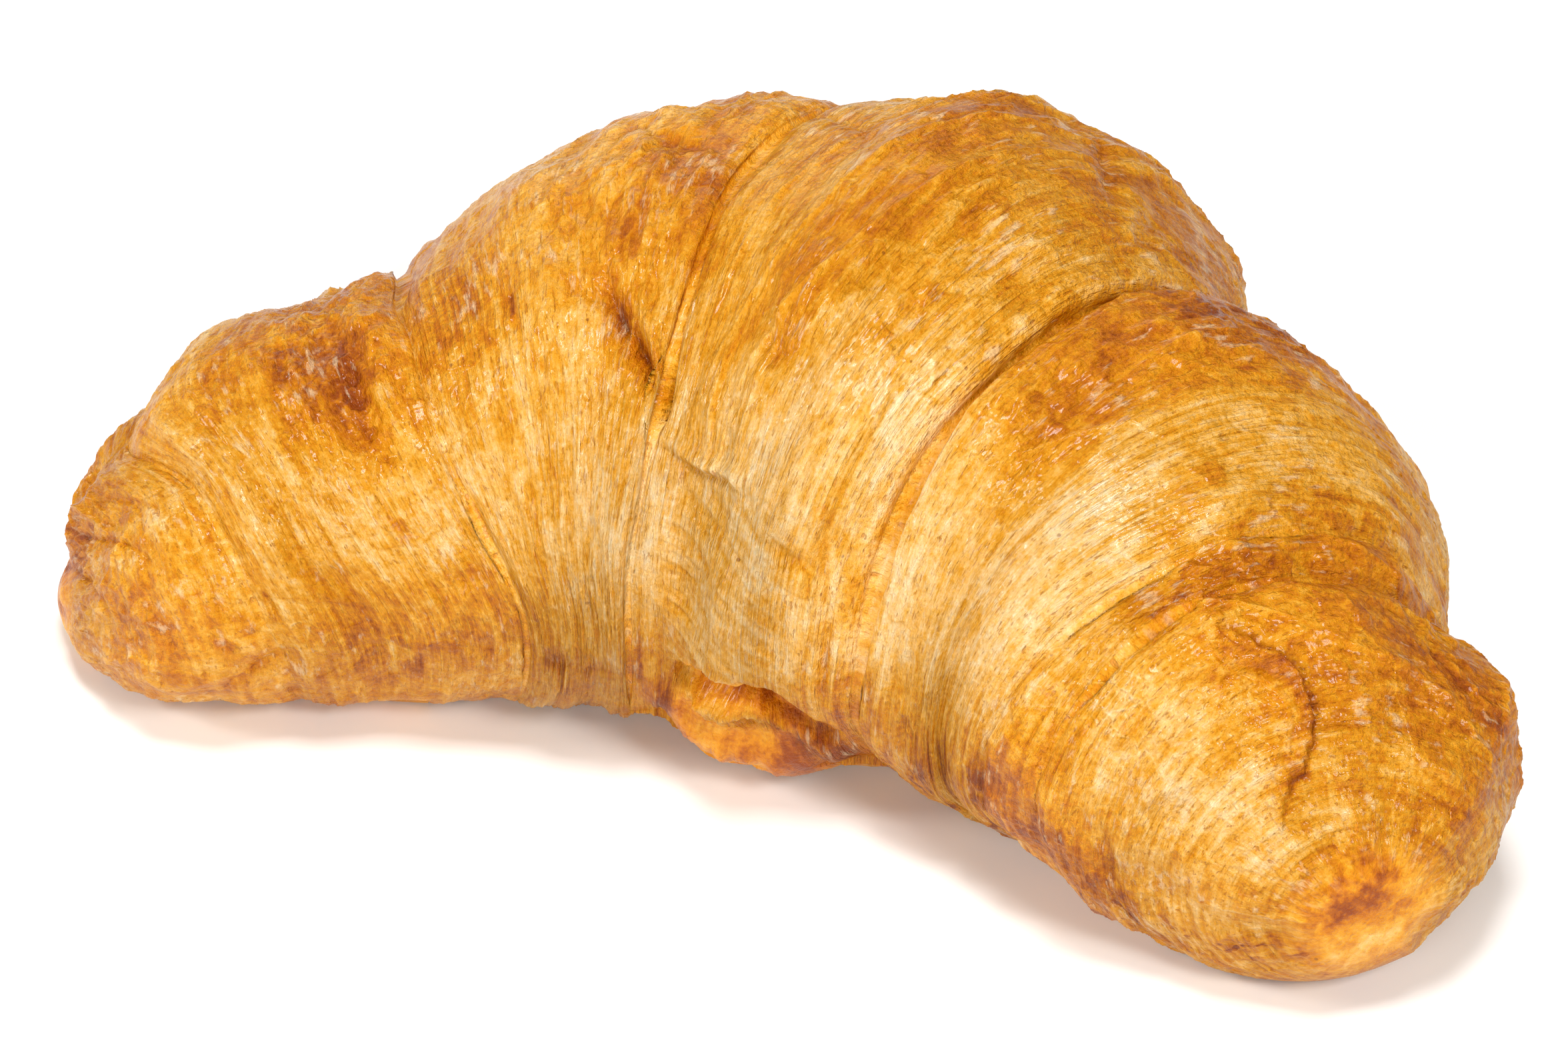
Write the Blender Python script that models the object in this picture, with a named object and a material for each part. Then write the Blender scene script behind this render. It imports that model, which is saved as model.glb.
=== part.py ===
"""A butter croissant, baked in one piece: a rolled triangle of laminated dough, bent into a crescent.

The roll is a tube of squat sections strung along a curved spine. Its turns swell between the edges
of the dough sheet, the underside is pressed flat by the tray, and the sheet's last corner sticks out
as a tongue at the front. +X runs from the left tip to the right one, +Y to the outer side of the
crescent, +Z up. The origin is the middle of the footprint's box, on the tray.
"""

from math import pi

import bmesh
import bpy
import numpy as np

MM = 0.001

# The spine from the left tip to the right one: x, y and the roll's half width there, in mm.
STATIONS = np.array(
    [
        (-74.0, -26.0, 5.5),
        (-57.5, -20.5, 20.0),
        (-46.0, -15.0, 22.0),
        (-30.5, -5.0, 28.5),
        (-9.5, 4.0, 32.5),
        (10.5, 4.0, 34.0),
        (24.5, -0.5, 30.0),
        (36.5, -6.0, 27.0),
        (46.0, -13.0, 25.0),
        (56.0, -20.5, 20.0),
        (66.0, -31.5, 17.5),
    ]
)
SQUAT = 0.88  # half height of a section over its half width
SEAT = 0.86  # height of a section's centre over its half height: what lies below the tray is cut off
TIP_LEFT, TIP_RIGHT = 7.0, 18.0  # length over which each end of the roll rounds off, in mm
TIP_POWER = 2.3  # 2 would be an ellipse; more is blunter

# Where each edge of the dough sheet crosses the crest, in mm along the spine, and how far it runs
# along the spine per radian towards the front and towards the back of the roll.
EDGES = {
    "left_tip": (9.0, 11.5, 3.0),
    "left_inner": (38.0, 2.5, 1.0),
    "core_left": (70.5, -9.5, 9.0),
    "core_right": (109.5, -1.2, 1.5),
    "right_inner": (135.0, -2.0, 6.0),
    "right_tip": (138.5, -1.0, 6.0),
}
FRONT_REACH, BACK_REACH = 1.7, 1.6  # radians from the crest over which an edge keeps leaning

# Each turn: its inner edge, its outer edge, where its crown lies between them, and how full it is.
LEFT_END, RIGHT_END = "left_end", "right_end"
TURNS = (
    ("left_tip", LEFT_END, 0.45, 0.2),
    ("left_inner", "left_tip", 0.35, 0.7),
    ("core_left", "left_inner", 0.30, 0.5),
    ("core_right", "right_inner", 0.35, 1.5),
    ("right_inner", "right_tip", 0.50, 0.3),
    ("right_tip", RIGHT_END, 0.40, 1.3),
)
CORE_FULLNESS = 1.4
SWELL = 0.085  # how far a turn's crown stands over its edges, as a share of the half width
SWELL_MEAN = 0.6  # the part of a turn's profile that leaves the half width as it is
UNDERSIDE_SWELL = 0.35  # the share of the swelling that the underside shows
BACK_SWELL = 0.7  # how much more the turns swell on the outer side of the crescent

# The tongue at the front: its centre and half size, along the spine in mm and round the section in
# radians from the underside, and how far it stands out as a share of the half width.
TONGUE_CENTRE, TONGUE_SIZE, TONGUE_OUT = (83.0, 0.80), (18.0, 0.30), 0.17

RINGS, SIDES = 88, 46
CRUST_COLOUR = (0.56, 0.27, 0.065, 1.0)
CRUST_ROUGHNESS = 0.42


def through(knots, values, at):
    """A natural cubic spline through the values, and its slope."""
    steps = np.diff(knots)[:, None]
    rises = np.diff(values, axis=0) / steps
    bends = np.zeros_like(values)
    system = np.diag(2 * (steps[:-1] + steps[1:])[:, 0])
    system += np.diag(steps[1:-1, 0], 1) + np.diag(steps[1:-1, 0], -1)
    bends[1:-1] = np.linalg.solve(system, 3 * np.diff(rises, axis=0))
    i = np.clip(np.searchsorted(knots, at) - 1, 0, len(knots) - 2)
    t = (at - knots[i])[:, None]
    first = rises[i] - steps[i] * (2 * bends[i] + bends[i + 1]) / 3
    third = (bends[i + 1] - bends[i]) / (3 * steps[i])
    return values[i] + t * (first + t * (bends[i] + t * third)), first + t * (2 * bends[i] + 3 * t * third)


def edge_line(name, round_section, length):
    """How far along the spine an edge lies, at each angle round the section."""
    if name == LEFT_END:
        return 0.0 * round_section
    if name == RIGHT_END:
        return length + 0.0 * round_section
    crest, to_front, to_back = EDGES[name]
    front = np.clip(pi - round_section, 0, FRONT_REACH)
    back = np.clip(round_section - pi, 0, BACK_REACH)
    return crest + to_front * front + to_back * back


def side_turn(t, crown):
    """Profile of a turn that comes out from under its neighbour: a steep rise, then a long fall."""
    rise = np.sqrt(np.clip(1 - (1 - t / crown) ** 2, 0, 1))
    fall = np.cos(pi / 2 * np.clip((t - crown) / (1 - crown), 0, 1)) ** 0.9
    return np.where(t < crown, rise, fall)


def swelling(along, round_section, length):
    """0 on the turns' edges, 1 on their crowns."""
    left = edge_line("core_left", round_section, length)
    right = edge_line("core_right", round_section, length)
    t = (along - left) / (right - left)
    profile = CORE_FULLNESS * np.sin(pi * np.clip(t, 0, 1) ** 1.15) ** 0.7 * (t >= 0) * (t <= 1)
    for inner, outer, crown, fullness in TURNS:
        start = edge_line(inner, round_section, length)
        end = edge_line(outer, round_section, length)
        t = (along - start) / (end - start)
        inside = (t > 0) & (t <= 1)
        profile = np.where(inside, fullness * side_turn(np.clip(t, 0, 1), crown), profile)
    return profile


def tip_rounding(along, length):
    left = np.clip(1 - along / TIP_LEFT, 0, 1)
    right = np.clip(1 - (length - along) / TIP_RIGHT, 0, 1)
    return ((1 - left**TIP_POWER) * (1 - right**TIP_POWER)) ** (1 / TIP_POWER)


def tongue(along, round_section):
    """1 in the middle of the tongue, 0 outside it."""
    x = (along - TONGUE_CENTRE[0]) / TONGUE_SIZE[0]
    y = (round_section - TONGUE_CENTRE[1]) / TONGUE_SIZE[1]
    return np.clip(1 - x**2 - y**2, 0, 1) ** 0.8


def crescent(rings, sides):
    """Points of the roll in mm, as an array of rings by sides by 3, with both tips closed to a point."""
    steps = np.linalg.norm(np.diff(STATIONS[:, :2], axis=0), axis=1)
    knots = np.concatenate([[0.0], np.cumsum(steps)])
    length = knots[-1]
    t = np.linspace(0, 1, rings)
    along = length * (0.4 * t + 0.6 * (0.5 - 0.5 * np.cos(pi * t)))  # rings crowd towards the tips
    place, slope = through(knots, STATIONS, along)
    tangent = slope[:, :2] / np.linalg.norm(slope[:, :2], axis=1)[:, None]
    outward = np.stack([-tangent[:, 1], tangent[:, 0]], axis=1)
    full = place[:, 2]
    round_section = np.linspace(0, 2 * pi, sides, endpoint=False)[None]
    s = along[:, None]
    upper = 0.5 - 0.5 * np.cos(round_section)
    shown = UNDERSIDE_SWELL + (1 - UNDERSIDE_SWELL) * np.clip(1.3 * upper, 0, 1)
    shown = shown * (1 + BACK_SWELL * np.clip(-np.sin(round_section), 0, 1))
    radius = 1 + SWELL * (swelling(s, round_section, length) - SWELL_MEAN) * shown
    radius = (radius + TONGUE_OUT * tongue(s, round_section)) * tip_rounding(s, length)
    across = -full[:, None] * np.sin(round_section) * radius
    up = SQUAT * full[:, None] * (SEAT - np.cos(round_section) * radius)
    x = place[:, :1] + across * outward[:, :1]
    y = place[:, 1:2] + across * outward[:, 1:]
    return np.stack([x, y, np.maximum(up, 0)], axis=2)


def build_croissant():
    """One closed mesh: a ring of faces between each pair of sections, and a fan at each tip."""
    points = crescent(RINGS, SIDES) * MM
    mesh = bmesh.new()
    rings = [[mesh.verts.new(p) for p in ring] for ring in points[1:-1]]
    tips = [mesh.verts.new(points[0, 0]), mesh.verts.new(points[-1, 0])]
    for ring, following in zip(rings, rings[1:]):
        for i in range(SIDES):
            j = (i + 1) % SIDES
            mesh.faces.new((ring[i], following[i], following[j], ring[j]))
    for i in range(SIDES):
        j = (i + 1) % SIDES
        mesh.faces.new((tips[0], rings[0][i], rings[0][j]))
        mesh.faces.new((tips[1], rings[-1][j], rings[-1][i]))
    bmesh.ops.recalc_face_normals(mesh, faces=mesh.faces)
    data = bpy.data.meshes.new("croissant")
    mesh.to_mesh(data)
    mesh.free()
    data.shade_smooth()
    data.materials.append(crust())
    croissant = bpy.data.objects.new("croissant", data)
    bpy.context.scene.collection.objects.link(croissant)
    return croissant


def crust():
    material = bpy.data.materials.new("crust")
    material.use_nodes = True
    shader = material.node_tree.nodes["Principled BSDF"]
    shader.inputs["Base Color"].default_value = CRUST_COLOUR
    shader.inputs["Roughness"].default_value = CRUST_ROUGHNESS
    shader.inputs["Metallic"].default_value = 0.0
    return material


def clear_scene():
    for thing in list(bpy.data.objects):
        bpy.data.objects.remove(thing)


clear_scene()
build_croissant()
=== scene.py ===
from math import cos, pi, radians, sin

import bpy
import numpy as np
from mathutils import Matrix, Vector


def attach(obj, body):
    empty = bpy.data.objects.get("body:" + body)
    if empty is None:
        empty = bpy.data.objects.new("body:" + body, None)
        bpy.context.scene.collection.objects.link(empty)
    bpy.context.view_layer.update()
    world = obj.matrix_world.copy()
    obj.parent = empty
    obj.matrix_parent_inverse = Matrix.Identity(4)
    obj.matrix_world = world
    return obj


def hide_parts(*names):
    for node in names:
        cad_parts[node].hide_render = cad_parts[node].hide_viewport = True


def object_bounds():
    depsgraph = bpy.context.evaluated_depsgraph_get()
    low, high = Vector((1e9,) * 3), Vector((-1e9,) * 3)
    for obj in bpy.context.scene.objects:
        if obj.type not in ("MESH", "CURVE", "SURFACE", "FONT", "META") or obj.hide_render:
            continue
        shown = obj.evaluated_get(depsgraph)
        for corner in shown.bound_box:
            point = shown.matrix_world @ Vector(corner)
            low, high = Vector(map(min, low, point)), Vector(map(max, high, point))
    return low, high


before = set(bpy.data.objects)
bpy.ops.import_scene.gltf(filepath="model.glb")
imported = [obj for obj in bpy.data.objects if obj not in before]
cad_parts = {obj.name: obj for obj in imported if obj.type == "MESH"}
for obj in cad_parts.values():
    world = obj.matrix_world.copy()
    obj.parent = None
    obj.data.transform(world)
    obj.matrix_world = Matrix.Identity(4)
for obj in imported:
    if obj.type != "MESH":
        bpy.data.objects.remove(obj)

# The looks of a baked croissant. The crust is one fine mesh on the CAD roll's own spine: a chart of
# (along, angle), where along runs in mm down the spine from the left tip and angle runs round the
# section from the underside, over the concave front, the crest and the convex back.

CAD_LOW, CAD_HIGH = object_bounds()
ROLL_LENGTH = 148.2  # mm from one tip to the other: everything below is in mm of a roll this long
MM = (CAD_HIGH.x - CAD_LOW.x) / ROLL_LENGTH

# The spine from the left tip to the right one, as in the CAD: x, y and the roll's half width there.
STATIONS = np.array(
    [
        (-74.0, -26.0, 5.5),
        (-57.5, -20.5, 20.0),
        (-46.0, -15.0, 22.0),
        (-30.5, -5.0, 28.5),
        (-9.5, 4.0, 32.5),
        (10.5, 4.0, 34.0),
        (24.5, -0.5, 30.0),
        (36.5, -6.0, 27.0),
        (46.0, -13.0, 25.0),
        (56.0, -20.5, 20.0),
        (66.0, -31.5, 17.5),
    ]
)
SQUAT = 0.88  # half height of a section over its half width
SEAT = 0.86  # height of a section's centre over its half height
SWELL = 0.085  # how far a full crown stands out, over the section's radius
MEAN_FULLNESS = 0.6  # the fullness at which a section keeps the spine's own half width
TIP_LEFT, TIP_RIGHT = 7.0, 18.0  # length over which each end rounds off
TIP_POWER = 2.4
TIP_SPREAD = (4.0, 10.0)  # mm from a tip's pole where the flat coordinates give way to the chart's
FLAT_SHIFT = 20.0  # mm that keeps the flat coordinates above 0
GIRTH = 186.0  # mm round the chart: 360 degrees
FLOOR_GAP = 0.6  # mm over which the underside flattens onto the floor

ROWS, COLUMNS = ((940, 1040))
NEAR_LEFT, NEAR_RIGHT = slice(0, ROWS // 4), slice(-ROWS // 4, None)  # the rows near each tip

# The edges of the rolled dough sheet, as (degrees round the section, mm along the spine).
EDGES = {
    "left_tip": [
        (20, 26), (84, 23), (107, 21), (123, 19.5), (145, 16.5), (158, 12.5), (176, 8), (220, 11),
        (300, 14),
    ],
    "left_inner": [
        (20, 44), (93, 43.5), (112, 41), (139, 37.5), (158, 36.5), (172, 36.8), (190, 36.2), (205, 38),
        (300, 39),
    ],
    "core_left": [
        (20, 57), (74, 56), (105, 56.5), (128, 60.5), (150, 64.5), (165, 67), (182, 69.5), (202, 73),
        (260, 82), (320, 76),
    ],
    "core_right": [
        (20, 105), (62, 103), (94, 106), (125, 104.6), (145, 104), (165, 104.6), (190, 105.5), (215, 107.5),
        (240, 110), (300, 111),
    ],
    "right_inner": [
        (20, 129), (76, 127), (104, 128.5), (133, 129.8), (161, 131), (185, 132), (214, 134), (238, 137.5),
        (300, 138),
    ],
    "right_tip": [
        (20, 136), (82, 133.5), (110, 133.5), (150, 134), (177, 135.2), (206, 137.5), (226, 140.5),
        (250, 142), (300, 142),
    ],
}
EDGE_NAMES = list(EDGES)
LEFT_TURNS = 3  # the turns, and the edges, before the core
EDGE_WOBBLE = 0.35  # mm by which a baked edge wanders from its line

# How deep the crease at each edge is, in mm, as (degrees, depth), and its half width.
CREASES = {
    "left_tip": ([(20, 0.3), (90, 0.5), (130, 1.0), (165, 1.2), (220, 0.8), (300, 0.4)], 1.6),
    "left_inner": ([(20, 0.1), (90, 0.1), (140, 0.3), (172, 1.3), (200, 1.0), (300, 0.6)], 1.3),
    "core_left": ([(20, 0.4), (90, 0.3), (125, 0.5), (150, 1.0), (178, 1.4), (205, 1.1), (300, 0.9)], 2.0),
    "core_right": (
        [(20, 0.5), (80, 0.4), (110, 0.8), (140, 1.6), (175, 2.0), (215, 1.6), (245, 2.2), (300, 1.3)],
        0.9,
    ),
    "right_inner": ([(20, 0.3), (80, 0.3), (130, 0.6), (165, 0.7), (220, 0.9), (300, 0.7)], 1.5),
    "right_tip": ([(20, 0.3), (80, 0.3), (130, 0.4), (165, 0.5), (220, 0.9), (300, 1.0)], 1.8),
}

# Each turn, from one end of the roll to the other: where its crown lies between its two edges, how full it
# is, and the centre and half width of its glaze, all but the fullness as shares of the way between the
# edges. A side turn rises steeply from its inner edge, under its neighbour, and falls slowly.
TURNS = (
    ("left_end", 0.55, 0.3, 0.35, 0.30),
    ("left_outer", 0.68, 0.75, 0.76, 0.26),
    ("left_shoulder", 0.62, 0.75, 0.70, 0.30),
    ("core", 0.50, 1.45, 0.50, 0.36),
    ("right_shoulder", 0.34, 1.5, 0.22, 0.26),
    ("right_band", 0.50, 0.25, 0.50, 0.60),
    ("right_end", 0.40, 1.3, 0.22, 0.30),
)


# ---------------------------------------------------------------- small helpers


def smooth(low, high, value):
    """0 below low, 1 above high, and an even S between them."""
    t = np.clip((value - low) / (high - low), 0.0, 1.0)
    return t * t * (3.0 - 2.0 * t)


def bell(value, centre, half_width):
    return np.exp(-(((value - centre) / half_width) ** 2))


def through(knots, values, at):
    """A natural cubic spline through the values, and its slope."""
    steps = np.diff(knots)[:, None]
    rises = np.diff(values, axis=0) / steps
    bends = np.zeros_like(values)
    system = np.diag(2 * (steps[:-1] + steps[1:])[:, 0])
    system += np.diag(steps[1:-1, 0], 1) + np.diag(steps[1:-1, 0], -1)
    bends[1:-1] = np.linalg.solve(system, 3 * np.diff(rises, axis=0))
    i = np.clip(np.searchsorted(knots, at) - 1, 0, len(knots) - 2)
    t = (at - knots[i])[:, None]
    first = rises[i] - steps[i] * (2 * bends[i] + bends[i + 1]) / 3
    third = (bends[i + 1] - bends[i]) / (3 * steps[i])
    return values[i] + t * (first + t * (bends[i] + t * third)), first + t * (2 * bends[i] + 3 * t * third)


def round_curve(points, angle, blur=7.0):
    """A value that changes smoothly round the section, from (degrees, value) points; blur is in degrees."""
    degrees, values = np.array(points, float).T
    fine = np.arange(0.0, 360.0, 1.0)
    raw = np.interp(fine, degrees, values, period=360.0)
    waves = np.fft.rfftfreq(360, 1.0)
    soft = np.fft.irfft(np.fft.rfft(raw) * np.exp(-0.5 * (2 * pi * waves * blur) ** 2), 360)
    return np.interp(np.degrees(angle), fine, soft, period=360.0)


# ---------------------------------------------------------------- random relief

# Each random table by name: its seed, the size of its features in mm along the spine and round the section,
# and how fast the finer ones fade, or None where only features of about that size are wanted.
RELIEFS = {
    "fine_fibre": (1, 0.40, 6.0, 1.4),
    "middle_fibre": (2, 1.3, 20.0, 1.6),
    "broad_fibre": (3, 4.0, 34.0, 1.8),
    "lump": (4, 13.0, 16.0, 2.0),
    "small_lump": (5, 5.0, 8.0, 1.8),
    "blister": (6, 2.2, 4.4, None),
    "wrinkle": (7, 1.3, 3.8, 1.3),
    "grain": (8, 0.3, 0.45, 1.2),
    "flake": (9, 1.3, 4.5, 1.5),
    "layered": (10, 5.0, 16.0, 1.5),
    "edge_wander": (11, 40.0, 20.0, 2.5),
    "tone": (12, 6.0, 10.0, 1.4),
    "blotch": (13, 1.4, 2.6, 1.2),
    "streak": (14, 0.5, 6.0, 1.3),
    "torn": (15, 30.0, 4.0, 1.2),
    "crumple": (16, 7.0, 10.0, 1.6),
    "fold": (17, 2.6, 8.0, 1.6),
    "pleat": (18, 4.5, 18.0, 1.9),
    "peel": (19, 4.5, 7.5, 1.5),
    "fold_wander": (21, 1.2, 2.0, 1.3),
    "tongue_wander": (22, 3.0, 3.0, 1.9),
    "flap_wander": (23, 1.0, 1.0, 1.6),
    "knob": (24, 2.4, 2.8, 1.7),
    "mottle": (25, 1.2, 1.2, 1.3),
    "warp": (31, 14.0, 26.0, 2.5),
    "curl": (32, 7.0, 9.0, 2.2),
}


class Relief:
    """Random height on the chart, of even strength 1, that repeats round the section."""

    ALONG = 192.0  # mm of spine in the table: more than the roll's length
    SIZE = (1536, 1536)

    def __init__(self, seed, across, run, falloff):
        white = np.random.default_rng(seed).standard_normal(self.SIZE)
        x = np.fft.fftfreq(self.SIZE[0], self.ALONG / self.SIZE[0])[:, None] * across
        y = np.fft.rfftfreq(self.SIZE[1], GIRTH / self.SIZE[1])[None] * run
        r2 = x * x + y * y
        shape = r2 * np.exp(-1.5 * r2) if falloff is None else (1.0 + 4.0 * r2) ** -falloff
        shape[0, 0] = 0.0
        table = np.fft.irfft2(np.fft.rfft2(white) * shape, s=self.SIZE)
        self.table = (table / table.std()).astype(np.float32)

    def at(self, along, girth):
        rows, columns = self.SIZE
        x = np.mod(along / self.ALONG, 1.0) * rows
        y = np.mod(girth / GIRTH, 1.0) * columns
        i, j = x.astype(int) % rows, y.astype(int) % columns
        fx, fy = x - np.floor(x), y - np.floor(y)
        i2, j2 = (i + 1) % rows, (j + 1) % columns
        table = self.table
        near = table[i, j] * (1 - fy) + table[i, j2] * fy
        far = table[i2, j] * (1 - fy) + table[i2, j2] * fy
        return near * (1 - fx) + far * fx

    def round_section(self, along, girth):
        """The heights round the section at one place along the roll."""
        return self.at(np.full(girth.shape, along), girth)


def relief(name):
    """A fresh table, the same each time, because its seed is its own."""
    return Relief(*RELIEFS[name])


# ---------------------------------------------------------------- the roll and its chart


class Chart:
    """The grid of points that the crust is made on, and where the dough's edges run on it."""

    def __init__(self):
        steps = np.linalg.norm(np.diff(STATIONS[:, :2], axis=0), axis=1)
        self.knots = np.concatenate([[0.0], np.cumsum(steps)])
        self.length = self.knots[-1]
        turn = np.arange(COLUMNS) / COLUMNS
        self.column_angle = 2 * pi * turn + 0.3 * np.sin(2 * pi * turn)  # denser over the crest
        self.angle = np.repeat(self.column_angle[None], ROWS, axis=0)
        self.degrees = np.degrees(self.angle)
        self.girth = self.degrees / 360.0 * GIRTH
        self.lines = self.edge_lines()
        self.place_rows()
        self.place_tips()

    def edge_lines(self):
        """Where each edge lies at each column, between the two ends of the roll."""
        wander = relief("edge_wander")
        lines = [np.zeros(COLUMNS)]
        for k, points in enumerate(EDGES.values()):
            wobble = wander.round_section(30.0 * k, self.column_angle / (2 * pi) * GIRTH)
            lines.append(round_curve(points, self.column_angle) + EDGE_WOBBLE * wobble)
        lines.append(np.full(COLUMNS, self.length))
        return np.array(lines)

    def place_rows(self):
        """Rows run along the edges of the dough, and one row lies on each edge."""
        edges = self.lines.mean(axis=1)
        t = np.linspace(0.0, 1.0, ROWS)
        rows = self.length * (0.4 * t + 0.6 * (0.5 - 0.5 * np.cos(pi * t)))  # denser near the tips
        index = np.minimum(np.searchsorted(rows, edges), ROWS - 1)
        rows = rows + np.interp(np.arange(ROWS), index, edges - rows[index])
        turn = np.clip(np.searchsorted(index, np.arange(ROWS), side="right") - 1, 0, len(edges) - 2)
        share = (rows - edges[turn]) / (edges[turn + 1] - edges[turn])
        self.turn = np.repeat(turn[:, None], COLUMNS, axis=1)
        self.share = np.repeat(share[:, None], COLUMNS, axis=1)
        self.dough = np.repeat(rows[:, None], COLUMNS, axis=1)
        self.along = self.lines[turn] * (1 - self.share) + self.lines[turn + 1] * self.share

    def place_tips(self):
        """Flat coordinates over each tip, where lines of equal angle crowd together."""
        points = roll_surface(self)
        self.tip = np.zeros(self.along.shape)
        self.flat = np.zeros((*self.along.shape, 2))
        for row, inside, near in ((0, ROWS // 12, NEAR_LEFT), (ROWS - 1, -ROWS // 12, NEAR_RIGHT)):
            pole = points[row].mean(axis=0)
            offset = points[near] - pole
            axis = points[inside].mean(axis=0) - pole
            side = np.array([axis[1], -axis[0]]) / np.hypot(*axis[:2])
            across, up = offset[..., 0] * side[0] + offset[..., 1] * side[1], offset[..., 2]
            self.tip[near] = 1.0 - smooth(*TIP_SPREAD, np.hypot(across, up))
            self.flat[near] = np.stack([across, up], axis=2) + FLAT_SHIFT

    def edge(self, name):
        """How far past an edge each point lies, in mm along the spine."""
        return self.along - self.lines[1 + EDGE_NAMES.index(name)][None]

    def crease_depth(self, name):
        """The depth in mm of the crease at an edge, for each column."""
        return round_curve(CREASES[name][0], self.column_angle)[None]

    def read(self, table, along, girth):
        """A random table's height at places on the chart, and at flat ones over the tips."""
        spread = table.at(along, girth)
        rows = np.flatnonzero(self.tip.max(axis=1) > 0)
        level = table.at(self.flat[rows, :, 0], self.flat[rows, :, 1])
        spread[rows] += self.tip[rows] * (level - spread[rows])
        return spread


def tip_rounding(along, length):
    left = np.clip(1 - along / TIP_LEFT, 0, 1)
    right = np.clip(1 - (length - along) / TIP_RIGHT, 0, 1)
    return ((1 - left**TIP_POWER) * (1 - right**TIP_POWER)) ** (1 / TIP_POWER)


def turn_shape(share, crown):
    """A side turn between its edges: a steep rise to its crown and a slow fall."""
    rise = np.sqrt(np.clip(1 - (1 - share / crown) ** 2, 0, 1))
    fall = np.cos(pi / 2 * np.clip((share - crown) / (1 - crown), 0, 1)) ** 0.9
    return np.where(share < crown, rise, fall)


def turn_profile(chart):
    """0 on the edges of the dough, 1 on the crowns, times each turn's fullness."""
    profile = np.zeros_like(chart.along)
    for k, (name, crown, fullness, _, _) in enumerate(TURNS):
        if name == "core":
            shape = np.sin(pi * chart.share**1.1) ** 0.7
        elif k < LEFT_TURNS:
            shape = turn_shape(1.0 - chart.share, 1.0 - crown)  # a left turn rises from its right edge
        else:
            shape = turn_shape(chart.share, crown)
        profile = np.where(chart.turn == k, fullness * shape, profile)
    flat_edge = bell(chart.edge("core_left"), 0.0, 3.5)  # the core's left edge lies flat
    return profile + MEAN_FULLNESS * flat_edge


def crown_mask(chart):
    """1 on each turn's glazed crown, 0 on the pale slope where the cut side of the sheet shows."""
    mask = np.zeros_like(chart.along)
    for k, (_, _, _, centre, width) in enumerate(TURNS):
        mask = np.where(chart.turn == k, np.exp(-np.abs((chart.share - centre) / width) ** 2.5), mask)
    return mask


# ---------------------------------------------------------------- folds, cracks and lips

# Each fold: its line over the chart as (mm along, degrees), its height in mm (below 0 for a groove),
# its half width in mm, and how much browner it is: the brown along a groove is painted shade, and a ridge
# is paler.
FOLDS = {
    "pocket": ([(56.0, 163), (57.5, 152), (59.5, 145), (60.2, 136)], -2.6, 1.5, 0.36),
    "pocket_flap": ([(61.5, 145), (62.6, 140), (62.8, 134), (61.5, 129)], -1.3, 0.9, 0.25),
    "pocket_lip": ([(60.5, 153), (61.4, 146), (61.6, 137)], 0.9, 1.2, -0.05),
    "tongue_ridge": ([(61.5, 129.5), (68, 123.5), (76, 121.5), (87, 118.5)], 0.9, 1.0, -0.12),
    "tongue_crack": ([(62, 127), (70, 121.5), (79, 120), (87, 117)], -0.9, 0.55, 0.16),
    "tongue_edge_left": ([(61, 129), (58, 119), (56, 110), (56.5, 100)], 0.4, 1.3, -0.06),
    "tongue_rim": ([(66, 69), (74, 70.5), (84, 69), (92, 67), (98, 62)], 0.6, 0.7, -0.16),
    "tongue_side": ([(60, 131), (57.5, 122), (55.5, 112)], -0.5, 0.6, 0.12),
    "crack": ([(99.5, 121), (100.5, 113), (102, 104), (102.5, 90), (102, 72)], -0.9, 0.6, 0.22),
    "crack_top": ([(93, 113), (97, 110), (100, 111)], -0.7, 0.9, 0.15),
    "left_pleat": ([(30.5, 187), (31.2, 172), (31.0, 158), (32.2, 146), (33.5, 138)], -1.2, 1.5, 0.20),
    "left_pleat_lip": ([(33.5, 184), (34.0, 170), (33.8, 156), (35.0, 146)], 0.6, 1.1, -0.02),
    "shoulder_pleat": ([(46.8, 172), (46.4, 165), (46.2, 157)], -0.8, 1.0, 0.22),
    "shoulder_pleat_2": ([(51.5, 166), (53.5, 160), (55.5, 156)], -0.7, 0.9, 0.16),
    "back_pleat": ([(60.5, 206), (62, 197), (66, 190)], -0.9, 1.1, 0.10),
    "tip_spiral_1": ([(3.5, 168), (5, 152), (8, 139), (12, 127), (14, 118)], -0.45, 0.35, 0.14),
    "tip_spiral_2": ([(6.5, 168), (9, 154), (12.5, 143), (16, 132)], -0.35, 0.4, 0.12),
    "tip_spiral_3": ([(1.2, 165), (2.2, 148), (4.0, 130), (7.5, 112)], -0.4, 0.35, 0.12),
    "tip_line": ([(15, 172), (20, 150), (22.5, 136), (25, 122), (27, 108)], -0.45, 0.6, 0.12),
    "core_dent": ([(79, 146), (83, 142), (88, 142)], -0.9, 1.6, 0.14),
    "core_top_pleat": ([(93, 222), (96, 214), (99, 207)], -1.2, 1.3, 0.16),
    "core_top_pleat_2": ([(74, 205), (78, 198), (80, 188)], -0.9, 1.5, 0.08),
    "band_fold": ([(137.5, 197), (135.5, 176), (133.6, 158), (131.8, 143), (131.5, 128)], -0.8, 2.0, 0.12),
    "left_base_fold": ([(18, 66), (20.5, 76), (24, 84)], -0.6, 1.2, 0.12),
    "shoulder_base_fold": ([(42, 86), (46, 78), (53, 74), (60, 68)], -0.3, 1.6, 0.08),
}

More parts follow.
